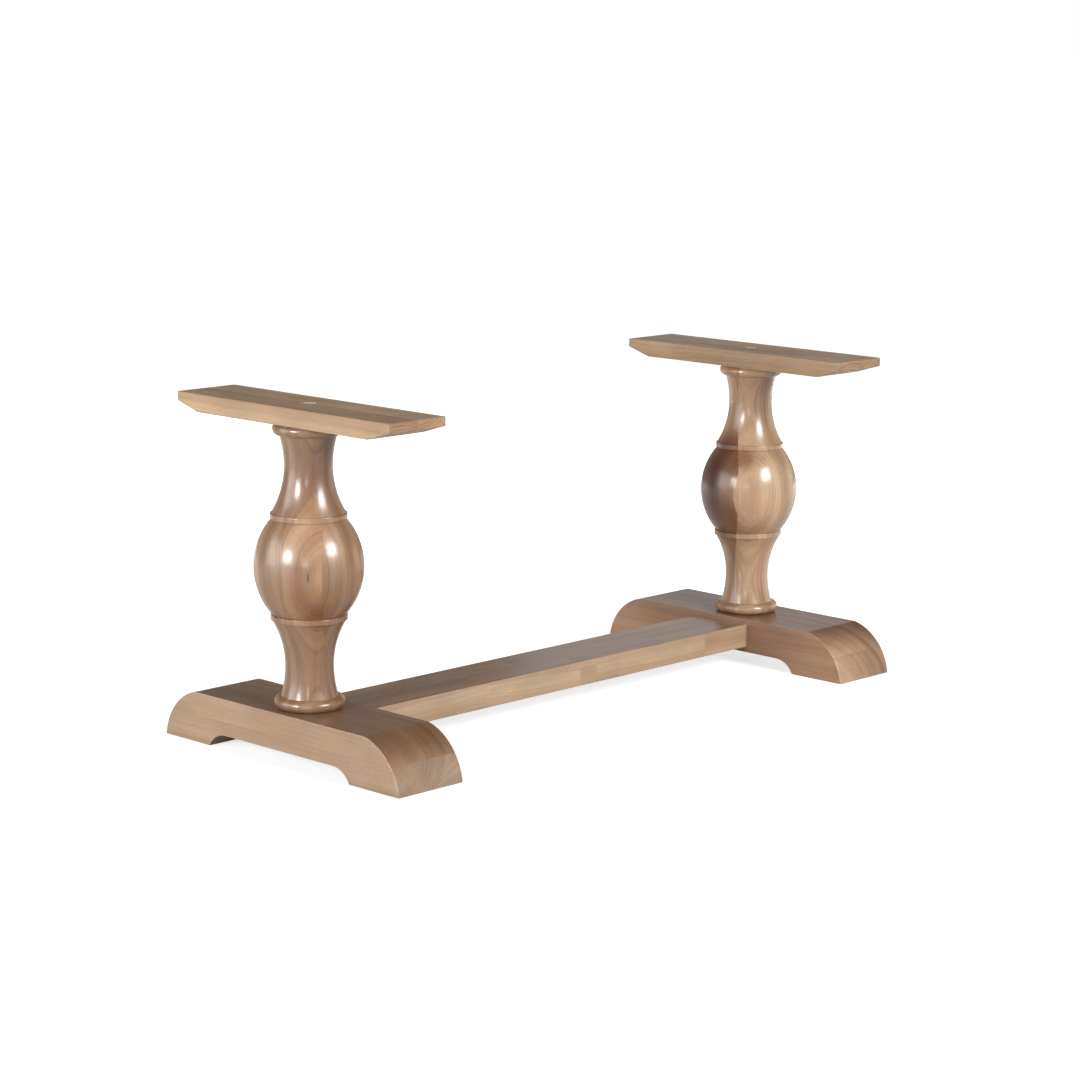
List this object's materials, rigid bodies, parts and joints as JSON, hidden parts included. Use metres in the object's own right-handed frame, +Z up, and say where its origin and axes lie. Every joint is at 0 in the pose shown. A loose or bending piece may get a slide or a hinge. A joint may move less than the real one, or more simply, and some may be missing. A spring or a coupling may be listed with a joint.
{
  "type": "table base",
  "caption": "Trestle table base: turned columns on arched feet, joined by a low flat stretcher, with drilled cleats on top for a separate table top.",
  "frame": {"origin": "on the floor, midway between the two columns", "axes": "+X along the stretcher towards the right pedestal, +Y along the feet, away from the viewer of the picture, +Z up"},
  "size_m": [1.535, 0.686, 0.7],
  "materials": {
    "stained_wood": "mid-brown stain under a satin lacquer",
    "dowel_wood": "bare beech",
    "plated_steel": "zinc plated",
    "insert_brass": "turned"
  },
  "bodies": {
    "root": {"left_foot": "stained_wood", "right_foot": "stained_wood", "left_column": "stained_wood", "right_column": "stained_wood", "stretcher": "stained_wood", "left_cleat": "stained_wood", "right_cleat": "stained_wood", "left_foot_bolt": "plated_steel", "right_foot_bolt": "plated_steel", "left_foot_washer": "plated_steel", "right_foot_washer": "plated_steel", "left_cleat_bolt": "plated_steel", "right_cleat_bolt": "plated_steel", "left_cleat_washer": "plated_steel", "right_cleat_washer": "plated_steel", "left_stretcher_bolts": "plated_steel", "right_stretcher_bolts": "plated_steel", "left_stretcher_washers": "plated_steel", "right_stretcher_washers": "plated_steel", "left_stretcher_nuts": "plated_steel", "right_stretcher_nuts": "plated_steel", "left_foot_insert": "insert_brass", "right_foot_insert": "insert_brass", "left_cleat_insert": "insert_brass", "right_cleat_insert": "insert_brass", "left_foot_dowels": "dowel_wood", "right_foot_dowels": "dowel_wood", "left_cleat_dowels": "dowel_wood", "right_cleat_dowels": "dowel_wood", "left_stretcher_dowels": "dowel_wood", "right_stretcher_dowels": "dowel_wood"}
  },
  "joints": []
}
